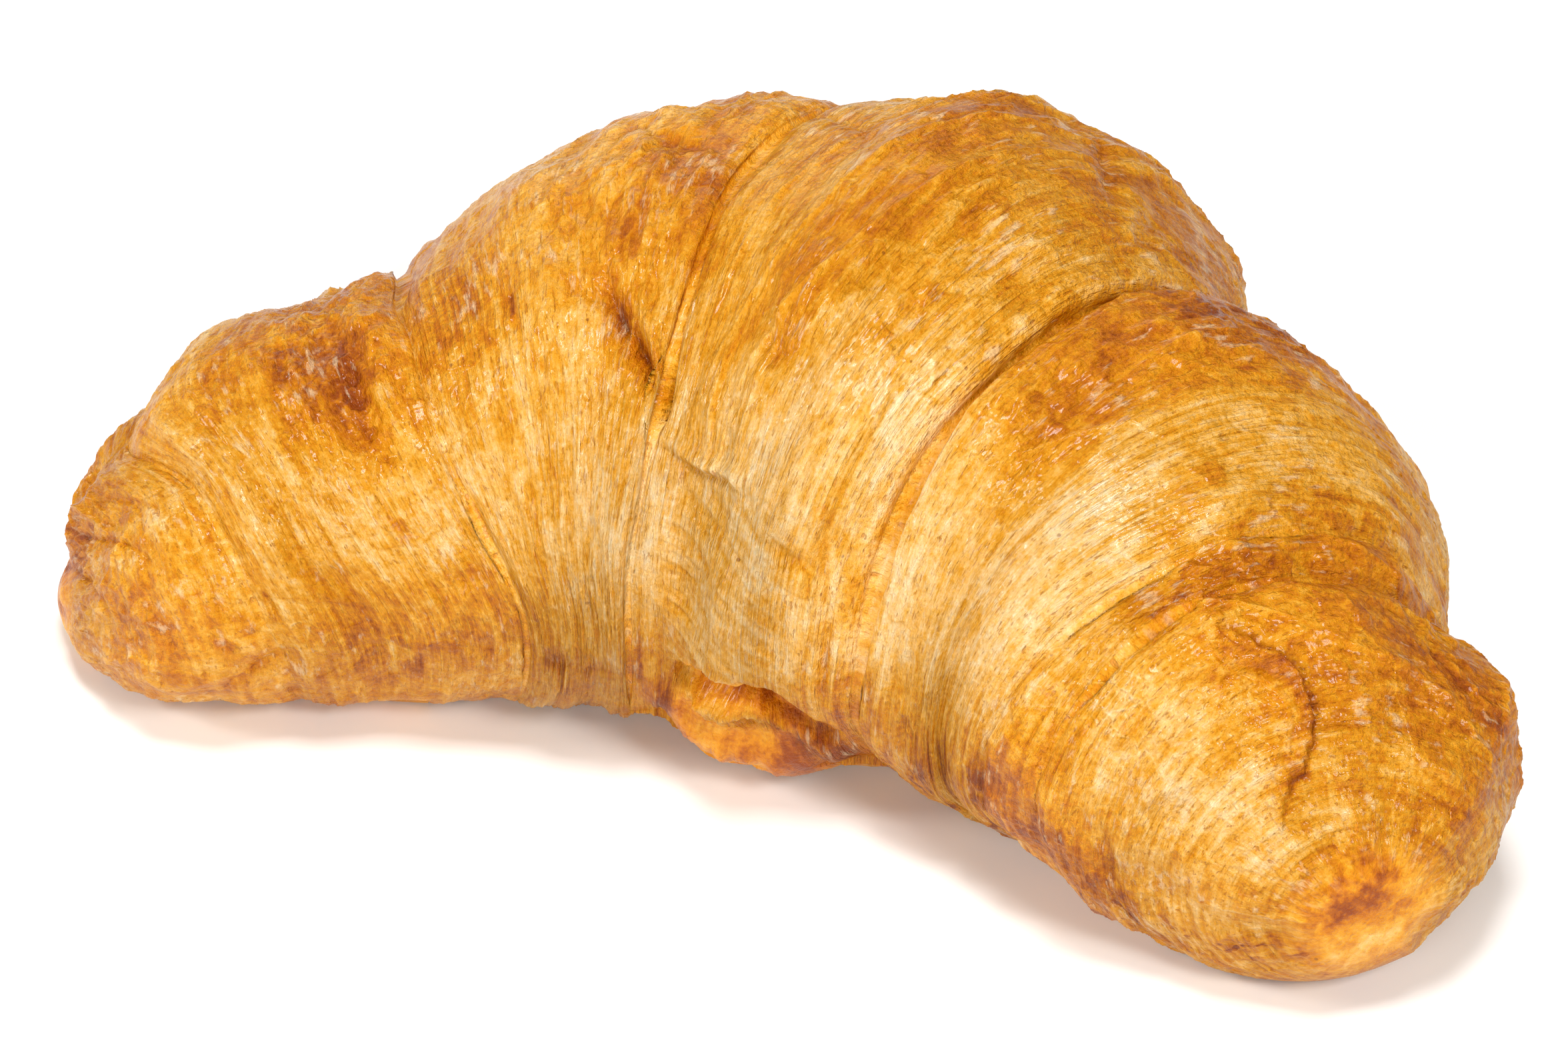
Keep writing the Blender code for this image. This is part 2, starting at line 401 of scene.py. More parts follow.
# Browner (+) and paler (-) places of the bake: the centre in mm along and degrees round, the half size in
# mm along and degrees round, and how much browner the place is.
PATCHES = {
    "left_end": (3.0, 145, 5.0, 55, 0.18),
    "left_mottle": (12.5, 120, 6.0, 28, 0.17),
    "left_outer_crown": (26.0, 180, 8.5, 33, 0.20),
    "left_front_low": (30.0, 92, 17.0, 18, 0.22),
    "left_base": (44.0, 72, 16.0, 9, 0.05),
    "inner_slope": (41.0, 180, 6.0, 45, 0.15),
    "shoulder_back": (60.0, 208, 12.0, 18, -0.12),
    "shoulder_front": (54.0, 112, 9.0, 22, -0.15),
    "groove_shade": (67.5, 172, 2.6, 16, 0.20),
    "core_crown": (88.0, 196, 14.0, 24, 0.06),
    "core_front": (82.0, 128, 16.0, 16, -0.16),
    "core_tongue": (78.0, 98, 18.0, 17, -0.17),
    "tongue_left_end": (64.0, 66, 3.0, 7, 0.22),
    "tongue_right_end": (95.0, 60, 5.0, 7, 0.28),
    "right_shoulder_crown": (113.0, 186, 6.5, 36, 0.16),
    "right_slope": (124.0, 138, 6.0, 26, -0.19),
    "right_shoulder_front": (111.0, 120, 8.0, 22, -0.24),
    "right_base": (122.0, 78, 18.0, 13, 0.24),
    "right_band": (133.0, 165, 4.0, 45, 0.10),
    "right_tip_crown": (140.0, 200, 5.5, 26, 0.16),
    "right_flank": (150.0, 228, 9.0, 22, 0.22),
    "right_tip_front": (148.0, 130, 9.0, 26, -0.14),
    "right_tip_low": (138.0, 88, 8.0, 16, 0.16),
    "right_tip_base": (149.0, 62, 9.0, 12, 0.09),
}

# How brown the crust is round the section where nothing else changes it, browner underneath and darker
# towards the back: (degrees, bake).
BAKE_ROUND = [
    (0, 0.74), (40, 0.68), (62, 0.59), (80, 0.56), (100, 0.52), (130, 0.48), (155, 0.53), (180, 0.57),
    (210, 0.59), (240, 0.60), (265, 0.58), (290, 0.60), (320, 0.66),
]
CREASE_SHADE_LEVEL, TIP_BAKE = 0.72, 0.58  # the even dark brown painted as shade at the bottom of the creases, and the even bake over the tips
TORN_HEIGHT, TORN_PALE = 0.22, 0.12  # how high the torn flakes stand in mm, and how much paler they are

# The sheet's last corner: a thick brown lip at the foot of the front, with a ragged hollow behind it.
TONGUE_LIP = [(62.5, 65), (68, 60), (76, 55), (86, 53), (93, 54), (98.5, 57)]
TONGUE_HOLLOW = [(66, 74.5), (74, 76), (85, 75), (94, 73), (100, 66)]
TONGUE_OUT, TONGUE_HALF = 3.4, 3.2  # how far the lip stands out, and its half width, in mm
TONGUE_UNDER = 2.2  # how much wider it is below its line, where it runs down to the floor
TONGUE_UNDER_ANGLE = 51  # degrees round the section below which it does
HOLLOW_DEPTH, HOLLOW_HALF = 3.2, 1.7  # the hollow's depth and half width in mm

# A raised flap of dough that curls over the right tip: its line, its height and its rim's height on top,
# its width from one end to the other, and the width over which its sides drop, in mm.
FLAP = [(139.2, 164), (141.5, 169), (145.5, 172.5), (149.3, 169), (151.8, 157), (153.8, 146)]
FLAP_HEIGHT, FLAP_RIM = 1.2, 0.35
FLAP_WIDTH = (3.0, 1.2)
FLAP_EDGE = 0.5

# The dark roast over the left and right tips: its centre from the tip's pole (across, up) and its size in
# mm, and how much browner it is.
ROASTS = (((0.0, 1.5), 6.5, 0.13), ((-3.0, 3.0), 6.5, 0.19))


def line_points(points, pieces=10):
    """Points of a smooth line over the chart, in mm both ways."""
    rough = np.array(points, float)
    rough[:, 1] *= GIRTH / 360.0
    knots = np.concatenate([[0.0], np.cumsum(np.linalg.norm(np.diff(rough, axis=0), axis=1))])
    return through(knots, rough, np.linspace(0.0, knots[-1], pieces + 1))[0]


def near_line(chart, points, reach):
    """The window of the chart within reach of a line, and there the distance in mm, the side (-1 or 1) and
    the share of the line."""
    line = line_points(points)
    low, high = line.min(axis=0) - reach, line.max(axis=0) + reach
    first = np.flatnonzero(chart.along.max(axis=1) > low[0])[0]
    last = np.flatnonzero(chart.along.min(axis=1) < high[0])[-1]
    rows = slice(first, last + 1)
    columns = slice(*np.searchsorted(chart.girth[0], (low[1], high[1])))
    x, y = chart.along[rows, columns], chart.girth[rows, columns]
    distance = np.full(x.shape, np.inf)
    side, share = np.zeros_like(x), np.zeros_like(x)
    count = len(line) - 1
    for k, (a, b) in enumerate(zip(line, line[1:])):
        d = b - a
        t = np.clip(((x - a[0]) * d[0] + (y - a[1]) * d[1]) / (d @ d), 0.0, 1.0)
        off_x, off_y = x - a[0] - t * d[0], y - a[1] - t * d[1]
        found = np.hypot(off_x, off_y)
        closer = found < distance
        distance = np.where(closer, found, distance)
        side = np.where(closer, np.sign(off_x * d[1] - off_y * d[0]), side)
        share = np.where(closer, (k + t) / count, share)
    return (rows, columns), distance, side, share


def tapered(share, margin, power):
    """0 at both ends of a line and 1 at its middle; the power makes its ends blunt."""
    return np.sin(pi * np.clip(share, margin, 1.0 - margin)) ** power


def add_folds(chart, height, bake):
    ragged = relief("fold_wander")
    for points, rise, half, brown in FOLDS.values():
        window, distance, _, share = near_line(chart, points, 4.0 * half)
        wander = ragged.at(chart.along[window], chart.girth[window])
        distance = np.abs(distance + 0.18 * half * wander) / half
        strength = tapered(share, 0.02, 0.5) * (1.0 + 0.25 * wander)
        sharpness = 1.3 if rise < 0 else 2.0  # a groove is sharper than a ridge
        height[window] += rise * strength * np.exp(-(distance**sharpness))
        # Painted shade along a groove; a ridge is paler.
        bake[window] += brown * strength * np.exp(-((distance / 0.9) ** 2.0))


def lip_mask(chart):
    """1 on the tongue's lip and in the hollow behind it, which have no fibres."""
    mask = np.zeros_like(chart.along)
    for line, reach in ((TONGUE_LIP, 3.8), (TONGUE_HOLLOW, 2.2)):
        window, distance, _, share = near_line(chart, line, 12.0)
        ends = smooth(0.0, 0.10, share) * smooth(1.0, 0.90, share)
        mask[window] = np.maximum(mask[window], ends * (1.0 - smooth(reach, 1.6 * reach, distance)))
    return mask


def add_tongue_lip(chart, ragged, height, bake):
    """The thick lip, which is browner at its two ends."""
    window, distance, _, share = near_line(chart, TONGUE_LIP, 12.0)
    wander = ragged.at(chart.along[window], chart.girth[window])
    above = chart.degrees[window] > TONGUE_UNDER_ANGLE
    reach = np.where(above, TONGUE_HALF, TONGUE_UNDER * TONGUE_HALF)
    shape = tapered(share, 0.03, 0.45) * np.exp(-((distance / reach) ** 3.0))
    height[window] += TONGUE_OUT * shape * (1 + 0.08 * wander * above)
    ends = np.abs(2.0 * share - 1.0) ** 3
    brown = 0.04 + 0.20 * ends + 0.05 * wander
    bake[window] += brown * np.exp(-((distance / (1.2 * TONGUE_HALF)) ** 4.0))


def add_tongue_hollow(chart, ragged, height, bake):
    """The ragged hollow, painted darker inside as shade, and more so towards its right end."""
    window, distance, _, share = near_line(chart, TONGUE_HOLLOW, 8.0)
    wander = ragged.at(chart.along[window] + 60.0, chart.girth[window])
    distance = np.abs(distance + 0.35 * wander) / HOLLOW_HALF
    taper = tapered(share, 0.03, 0.4)
    height[window] -= HOLLOW_DEPTH * taper * np.exp(-(distance**3.0))
    # Painted shade in the hollow.
    bake[window] += (0.14 + 0.12 * share) * taper * np.exp(-((distance / 1.1) ** 3.0))


def add_tongue(chart, height, bake):
    ragged = relief("tongue_wander")
    add_tongue_lip(chart, ragged, height, bake)
    add_tongue_hollow(chart, ragged, height, bake)


def add_flap(chart, height, bake):
    """A brown flap with a pale inner rim and a shaded outer edge, which the line follows."""
    window, distance, side, share = near_line(chart, FLAP, 8.0)
    wander = relief("flap_wander").at(chart.along[window], chart.girth[window])
    offset = -side * distance + 0.20 * wander
    width = FLAP_WIDTH[0] + (FLAP_WIDTH[1] - FLAP_WIDTH[0]) * share
    taper = np.sin(pi * np.clip(0.10 + 0.86 * share, 0.0, 1.0)) ** 0.5
    flap = smooth(-width - FLAP_EDGE, FLAP_EDGE - width, offset) * smooth(FLAP_EDGE, -0.2, offset)
    height[window] += taper * flap * (FLAP_HEIGHT + FLAP_RIM * bell(offset, -0.6, 0.9))
    shade = 0.30 * bell(offset, 0.45, 0.45) - 0.20 * bell(offset, -width, 0.35)
    bake[window] += taper * (0.16 * flap + shade)


def add_roast(chart, bake):
    """A mottled dark oval over each tip."""
    mottling = relief("mottle")
    for near, (centre, size, brown) in zip((NEAR_LEFT, NEAR_RIGHT), ROASTS):
        flat = chart.flat[near]
        mottle = mottling.at(flat[..., 0], flat[..., 1])
        place = flat - FLAT_SHIFT - centre
        distance = np.maximum(np.hypot(place[..., 0], 1.15 * place[..., 1]) + 0.6 * mottle, 0.0)
        inside = np.exp(-((distance / size) ** 4)) * (flat[..., 0] > 0)
        bake[near] += brown * inside * (1.0 + 0.5 * mottle)


# ---------------------------------------------------------------- the creases between the turns


def towards_core(name):
    """The way along the roll from the core's sheet, which lies on top, to an edge's far side: -1 or 1."""
    return -1.0 if EDGE_NAMES.index(name) < LEFT_TURNS else 1.0


def crease_relief(chart):
    """Height in mm and slide along the roll in mm at the edges of the turns."""
    height = np.zeros_like(chart.along)
    slide = np.zeros_like(chart.along)
    for name, (_, half) in CREASES.items():
        way, offset, depth = towards_core(name), chart.edge(name), chart.crease_depth(name)
        height -= depth * np.exp(-((np.abs(offset) / half) ** 1.15))
        lip = -offset * way  # over 0 on the side of the core
        height += 0.22 * depth * bell(lip, 1.9 * half, 1.1 * half)
        overlap = 0.22 if name.startswith("core") else 0.06
        slide += way * overlap * depth * bell(lip, 1.1 * half, 0.9 * half)
    return height, slide


def crease_mask(chart, reach):
    """1 at the bottom of the deep creases, where the dough is smooth and is painted an even dark brown as
    shade;
    reach is in half widths."""
    mask = np.zeros_like(chart.along)
    for name, (_, half) in CREASES.items():
        deep = smooth(0.9, 2.2, chart.crease_depth(name))
        mask = np.maximum(mask, deep * bell(chart.edge(name), 0.0, reach * half))
    return mask


def add_torn_edges(chart, height, bake):
    """Thin pale flakes that stand up here and there along the lips of the sheet."""
    torn = relief("torn")
    for k, name in enumerate(EDGE_NAMES):
        wander = torn.round_section(23.0 * k, chart.girth[0])
        strength = np.clip(wander - 0.3, 0.0, 1.2) * smooth(1.0, 2.0, chart.crease_depth(name))
        ridge = strength * bell(-towards_core(name) * chart.edge(name), 0.5, 0.35)
        height += TORN_HEIGHT * ridge
        bake -= TORN_PALE * ridge


# ---------------------------------------------------------------- the crust's relief and bake

# How high each kind of relief stands, in mm. A second number is what slopes or crowns have more.
BROAD_FIBRE, MIDDLE_FIBRE, FINE_FIBRE = (0.14, 0.12), (0.02, 0.04), (0.025, 0.035)
TERRACE_WIDTH, TERRACE_HEIGHT = 1.3, 0.11
LUMP, SMALL_LUMP = 0.50, (0.16, 0.24)
BLISTER, GRAIN, KNOB = 0.16, 0.014, 0.26
RIDGE, FOLD, PLEAT = 0.24, 0.48, 0.55
FLAKE, HOLLOW, PEEL = 0.06, 0.05, 0.09

# How much browner (+) or paler (-) each is baked; some of these also carry painted light, as below.
CROWN_BAKE, TONE_BAKE, BLOTCH_BAKE, CHAR_BAKE = 0.10, 0.045, 0.055, 0.30
# Raised fibres, ridges, folds and pleats are paler and the crumpled skin between them browner: partly the
# bake, partly a painted highlight on the crests and painted shade in the hollows.
STREAK_BAKE, FINE_FIBRE_BAKE_AND_HIGHLIGHT, MIDDLE_FIBRE_BAKE_AND_HIGHLIGHT = (0.02, 0.02), -0.04, -0.02
CRUMPLE_BAKE_AND_SHADE, RIDGE_BAKE_AND_HIGHLIGHT, FOLD_BAKE_AND_HIGHLIGHT, PLEAT_BAKE_AND_HIGHLIGHT = 0.09, -0.16, -0.12, -0.08
FLAKE_BAKE, KNOB_BAKE = -0.06, -0.09
LIFTED_BAKE, LIFTED_RIM_BAKE = 0.05, -0.10
GONE_BAKE, GONE_RIM_BAKE = -0.06, 0.08

# Where the flake field makes a flake and a hollow in it, and where the peel field has skin lifted or gone.
FLAKE_EDGE, HOLLOW_EDGE = (1.15, 1.25), (1.6, 1.7)
LIFTED, GONE = (0.80, 0.90), (-0.85, -0.95)
PEEL_RIM = 0.07  # the width of the rim of such a place, as a height of the peel field


def tongue_mask(chart):
    """Where the sheet's last corner lies over the core's front, with its fibres along the roll."""
    u, degrees = chart.along, chart.degrees
    along_roll = smooth(58, 66, u) * (1 - smooth(93, 101, u))
    return along_roll * smooth(72, 80, degrees) * (1 - smooth(114, 124, degrees))


def fibre_lines(chart):
    """Which fibre of the sheet each point lies on, in mm. They follow its edges and curl on the front."""
    swirl = bell(chart.along, 78, 20) * bell(chart.degrees, 142, 18)
    warp = relief("warp").at(chart.along, chart.girth)
    curl = relief("curl").at(chart.along, chart.girth)
    return chart.dough + 0.45 * warp + 0.6 * swirl * curl


class Skin:
    """What the crust's relief and its bake share: where each kind of skin lies, and its random fields."""

    def __init__(self, chart):
        self.chart = chart
        self.tongue = tongue_mask(chart)
        self.lines = fibre_lines(chart)
        # Where the bottoms of the creases get painted shade.
        self.crease_shade = crease_mask(chart, 0.36)
        bare = np.maximum(0.9 * lip_mask(chart), crease_mask(chart, 0.8))
        self.plain = (1.0 - bare) * (1.0 - chart.tip)  # 0 where no fibres show
        self.crown = self.glazed_crowns()
        self.slope = 1.0 - self.crown
        self.fine = self.fibres("fine_fibre")
        self.middle = self.fibres("middle_fibre")
        self.broad = self.fibres("broad_fibre")
        self.tone = self.along_fibres("tone")
        self.flake = self.along_fibres("flake")
        self.peel = self.along_fibres("peel")
        self.knob = chart.tip * self.even("knob")
        self.find_ridges()

    def glazed_crowns(self):
        degrees = self.chart.degrees
        upper = smooth(110, 160, degrees) * (1 - smooth(255, 285, degrees))
        crown = crown_mask(self.chart) * (0.35 + 0.65 * upper)
        return crown * (1 - self.tongue) * (1 - 0.7 * self.chart.tip)

    def find_ridges(self):
        """The thin skin wrinkles into ridges, folds and pleats along the fibres, most on the crowns."""
        crown, girth = self.crown, self.chart.girth
        self.crumpled = (0.35 + 0.65 * crown) * smooth(-0.9, 0.9, self.even("crumple"))
        self.ridges = self.crumpled * np.exp(-np.abs(self.along_fibres("wrinkle")) / 0.4)
        self.folded = self.crumpled * np.exp(-np.abs(self.along_fibres("fold")) / 0.4)
        pleat = self.chart.read(relief("pleat"), self.lines - 0.25 * girth, girth)  # pleats run askew
        self.pleated = (0.3 + 0.7 * crown) * np.exp(-np.abs(pleat) / 0.3)

    def even(self, name):
        """A random field that takes no notice of the fibres."""
        return self.chart.read(relief(name), self.chart.along, self.chart.girth)

    def along_fibres(self, name):
        return self.chart.read(relief(name), self.lines, self.chart.girth)

    def fibres(self, name):
        """A random field that runs round the section with the fibres, and along the roll on the tongue."""
        u, g = self.chart.along, self.chart.girth
        table = relief(name)
        straight = self.chart.read(table, self.lines, g)
        across = table.at(0.95 * g + 0.28 * u, 0.9 * u - 0.2 * g)
        return straight * (1 - self.tongue) + across * self.tongue


def more_on(mask, amounts):
    """The first amount everywhere, and the second on top where the mask is 1."""
    return amounts[0] + amounts[1] * mask


def fibre_height(skin):
    """Ribs along the fibres in mm, and fine terraces where the cut side of the sheet shows its layers."""
    plain, slope = skin.plain, skin.slope
    height = plain * skin.broad * more_on(slope, BROAD_FIBRE)
    height += plain * (1 - 0.6 * skin.tongue) * skin.middle * more_on(slope, MIDDLE_FIBRE)
    height += plain * skin.fine * more_on(slope, FINE_FIBRE)
    phase = skin.lines / TERRACE_WIDTH + 0.25 * skin.broad
    saw = phase - np.floor(phase)
    saw = np.where(skin.chart.turn < LEFT_TURNS, 1.0 - saw, saw)
    layered = slope * (1 - skin.tongue) * smooth(-0.6, 0.9, skin.even("layered"))
    return height + TERRACE_HEIGHT * plain * layered * (saw**1.6 - 0.4)


def skin_height(skin):
    """Lumps, blisters, wrinkles and lifted or missing skin, in mm."""
    height = LUMP * skin.even("lump") + more_on(skin.crown, SMALL_LUMP) * skin.even("small_lump")
    height += BLISTER * skin.crown * np.clip(skin.along_fibres("blister"), 0.0, 1.6)
    height += skin.plain * (RIDGE * skin.ridges + FOLD * skin.folded + PLEAT * skin.pleated)
    height += FLAKE * smooth(*FLAKE_EDGE, skin.flake) - HOLLOW * smooth(*HOLLOW_EDGE, skin.flake)
    height += GRAIN * skin.even("grain") + KNOB * skin.knob
    return height + PEEL * skin.plain * (smooth(*LIFTED, skin.peel) - smooth(*GONE, skin.peel))


def broad_bake(skin):
    """The bake of each part of the roll: round the section, on crowns, and in browner and paler places."""
    chart = skin.chart
    around = round_curve(BAKE_ROUND, chart.column_angle)[None]
    bake = TIP_BAKE + (1 - chart.tip) * (around - TIP_BAKE) + CROWN_BAKE * (skin.crown - 0.45)
    for centre, angle, size, spread, brown in PATCHES.values():
        patch = bell(chart.along, centre, size) * bell(chart.degrees, angle, spread)
        bake += (1 - chart.tip) * brown * patch
    return bake


def charred_specks(skin, blotch):
    """1 on specks at the foot of the right half's front."""
    foot = bell(skin.chart.degrees, 62, 10) * smooth(90, 110, skin.chart.along)
    return smooth(1.2, 1.8, blotch) * foot


def fibre_bake(skin):
    """Streaks along the fibres, and raised fibres, ridges, folds and pleats paler: partly less of the bake,
    partly a painted highlight on their crests.
    """
    bake = skin.fibres("streak") * more_on(skin.slope, STREAK_BAKE)
    bake += skin.slope * (FINE_FIBRE_BAKE_AND_HIGHLIGHT * skin.fine + MIDDLE_FIBRE_BAKE_AND_HIGHLIGHT * skin.middle)
    bake += RIDGE_BAKE_AND_HIGHLIGHT * skin.ridges + FOLD_BAKE_AND_HIGHLIGHT * skin.folded + PLEAT_BAKE_AND_HIGHLIGHT * skin.pleated
    return skin.plain * bake


def peel_bake(skin):
    """Lifted skin is browner with a pale rim; where it has gone the dough is paler, with a brown rim."""
    peel = skin.peel
    lifted = LIFTED_BAKE * smooth(*LIFTED, peel) + LIFTED_RIM_BAKE * bell(peel, LIFTED[0], PEEL_RIM)
    gone = GONE_BAKE * smooth(*GONE, peel) + GONE_RIM_BAKE * bell(peel, GONE[0], PEEL_RIM)
    return skin.plain * (lifted + gone)


def fine_bake(skin):
    """Everything in the bake that is smaller than a turn of the roll."""
    blotch = skin.along_fibres("blotch")
    bake = TONE_BAKE * skin.tone + BLOTCH_BAKE * np.tanh(1.2 * blotch)
    # The crumpled skin is browner between its paler ridges: partly the bake, partly painted shade in the
    # hollows.
    bake += CRUMPLE_BAKE_AND_SHADE * skin.crumpled + FLAKE_BAKE * smooth(*FLAKE_EDGE, skin.flake)
    bake += CHAR_BAKE * charred_specks(skin, blotch)
    return bake + fibre_bake(skin) + peel_bake(skin)


def crust_relief(chart):
    """Height over the plain roll and slide along it, in mm, and the looks of each point by name."""
    skin = Skin(chart)
    height, slide = crease_relief(chart)
    height += fibre_height(skin) + skin_height(skin)
    bake = broad_bake(skin) + fine_bake(skin)
    # The bottoms of the deep creases are painted an even dark brown as shade.
    bake += skin.crease_shade * (CREASE_SHADE_LEVEL - bake) + KNOB_BAKE * skin.knob
    add_torn_edges(chart, height, bake)
    add_folds(chart, height, bake)
    add_tongue(chart, height, bake)
    add_flap(chart, height, bake)
    add_roast(chart, bake)
    looks = {
        "bake": np.clip(bake, 0.0, 1.0),
        "glaze": np.clip(0.25 + 0.75 * skin.crown + 0.15 * skin.tone, 0.0, 1.0),
        "plain": skin.plain,
        "strands": skin.plain * (0.35 + 0.65 * skin.slope),
    }
    return height, slide, looks


# ---------------------------------------------------------------- the mesh


def roll_surface(chart):
    """Points of the swollen roll in mm, before its fine relief."""
    place, slope = through(chart.knots, STATIONS, chart.along.ravel())
    place, slope = place.reshape(*chart.along.shape, 3), slope.reshape(*chart.along.shape, 3)
    tangent = slope[..., :2] / np.linalg.norm(slope[..., :2], axis=2)[..., None]
    outward = np.stack([-tangent[..., 1], tangent[..., 0]], axis=2)
    half, angle = place[..., 2], chart.angle
    upper = np.clip(0.65 * (1 - np.cos(angle)), 0, 1)
    back, low_front = np.clip(-np.sin(angle), 0, 1), bell(chart.degrees, 92, 38)
    shown = (0.35 + 0.65 * upper) * (1 + 0.7 * back) * (1 - 0.55 * low_front)
    radius = 1 + SWELL * (turn_profile(chart) - MEAN_FULLNESS) * shown
    radius = radius * tip_rounding(chart.along, chart.length)
    across = -half * np.sin(angle) * radius
    up = SQUAT * half * (SEAT - np.cos(angle) * radius)
    x = place[..., 0] + across * outward[..., 0]
    y = place[..., 1] + across * outward[..., 1]
    return np.stack([x, y, up], axis=2)


def unit(vectors):
    return vectors / np.maximum(np.linalg.norm(vectors, axis=2, keepdims=True), 1e-9)


def crust_points(chart, height, slide):
    points = roll_surface(chart)
    down_roll = unit(np.gradient(points, axis=0))
    round_roll = np.roll(points, -1, axis=1) - np.roll(points, 1, axis=1)
    outward = unit(np.cross(down_roll, round_roll))
    fade = smooth(0.0, 1.2, chart.along) * smooth(0.0, 1.2, chart.length - chart.along)
    fade = fade * (0.15 + 0.85 * smooth(18, 46, np.minimum(chart.degrees, 360 - chart.degrees)))
    points = points + outward * (height * fade)[..., None] + down_roll * (slide * fade)[..., None]
    up = points[..., 2]
    flattened = FLOOR_GAP * np.exp((np.minimum(up, FLOOR_GAP) - FLOOR_GAP) / FLOOR_GAP)
    points[..., 2] = np.where(up < FLOOR_GAP, flattened, up)
    return points * MM


def crust_faces():
    """The (rows, columns) of the corners of the quads between rows, and of the triangles at each tip."""
    i, j = np.meshgrid(np.arange(1, ROWS - 2), np.arange(COLUMNS), indexing="ij")
    i, j = i.ravel(), j.ravel()
    quads = np.stack([i, i + 1, i + 1, i], axis=1), np.stack([j, j, j + 1, j + 1], axis=1)
    k = np.arange(COLUMNS)
    first, last = np.full(COLUMNS, 1), np.full(COLUMNS, ROWS - 2)
    fan_rows = np.concatenate(
        [np.stack([first - 1, first, first], axis=1), np.stack([last + 1, last, last], axis=1)]
    )
    fan_columns = np.concatenate([np.stack([k, k, k + 1], axis=1), np.stack([k, k + 1, k], axis=1)])
    return quads, (fan_rows, fan_columns)


def corner_vertex(rows, columns):
    """Vertex index of a place on the grid, where each end row is one vertex."""
    inner = 1 + (rows - 1) * COLUMNS + columns % COLUMNS
    last = 1 + (ROWS - 2) * COLUMNS
    return np.where(rows == 0, 0, np.where(rows == ROWS - 1, last, inner))


def at_vertices(values):
    """A grid's values in vertex order: left pole, inner rows, right pole."""
    left, right = values[0].mean(axis=0), values[-1].mean(axis=0)
    inner = values[1:-1].reshape(-1, *values.shape[2:])
    return np.concatenate([left[None], inner, right[None]])


def mesh_of(points, corners, sizes):
    """A smooth mesh from points, each face's corners in turn, and how many corners each face has."""
    mesh = bpy.data.meshes.new("crust")
    mesh.vertices.add(len(points))
    mesh.vertices.foreach_set("co", points.ravel())
    mesh.loops.add(len(corners))
    mesh.loops.foreach_set("vertex_index", corners.astype(np.int32))
    mesh.polygons.add(len(sizes))
    starts = np.concatenate([[0], np.cumsum(sizes)[:-1]])
    mesh.polygons.foreach_set("loop_start", starts.astype(np.int32))
    mesh.update(calc_edges=True)
    mesh.shade_smooth()
    return mesh


def add_uv(mesh, name, across, up):
    layer = mesh.uv_layers.new(name=name)
    layer.data.foreach_set("uv", np.stack([across, up], axis=1).astype(np.float32).ravel())


def add_uvs(mesh, chart, rows, columns):
    """One UV for baking, which fills the unit square, and one in mm along the dough and round it."""
    dough = np.concatenate([chart.dough, chart.dough[:, :1]], axis=1)
    girth = np.concatenate([chart.girth, chart.girth[:, :1] + GIRTH], axis=1)
    add_uv(mesh, "OFBake", rows / (ROWS - 1), columns / COLUMNS)
    add_uv(mesh, "dough", dough[rows, columns], girth[rows, columns])
    mesh.uv_layers.active = mesh.uv_layers["OFBake"]


def build_crust():
    chart = Chart()
    height, slide, looks = crust_relief(chart)
    points = at_vertices(crust_points(chart, height, slide))
    (quad_rows, quad_columns), (fan_rows, fan_columns) = crust_faces()
    rows = np.concatenate([quad_rows.ravel(), fan_rows.ravel()])
    columns = np.concatenate([quad_columns.ravel(), fan_columns.ravel()])
    sizes = np.concatenate([np.full(len(quad_rows), 4), np.full(len(fan_rows), 3)])
    mesh = mesh_of(points, corner_vertex(rows, columns), sizes)
    for name, values in looks.items():
        mesh.attributes.new(name, "FLOAT", "POINT").data.foreach_set("value", at_vertices(values))
    add_uvs(mesh, chart, rows, columns)
    crust = bpy.data.objects.new("crust", mesh)
    bpy.context.scene.collection.objects.link(crust)
    return crust


# ---------------------------------------------------------------- material


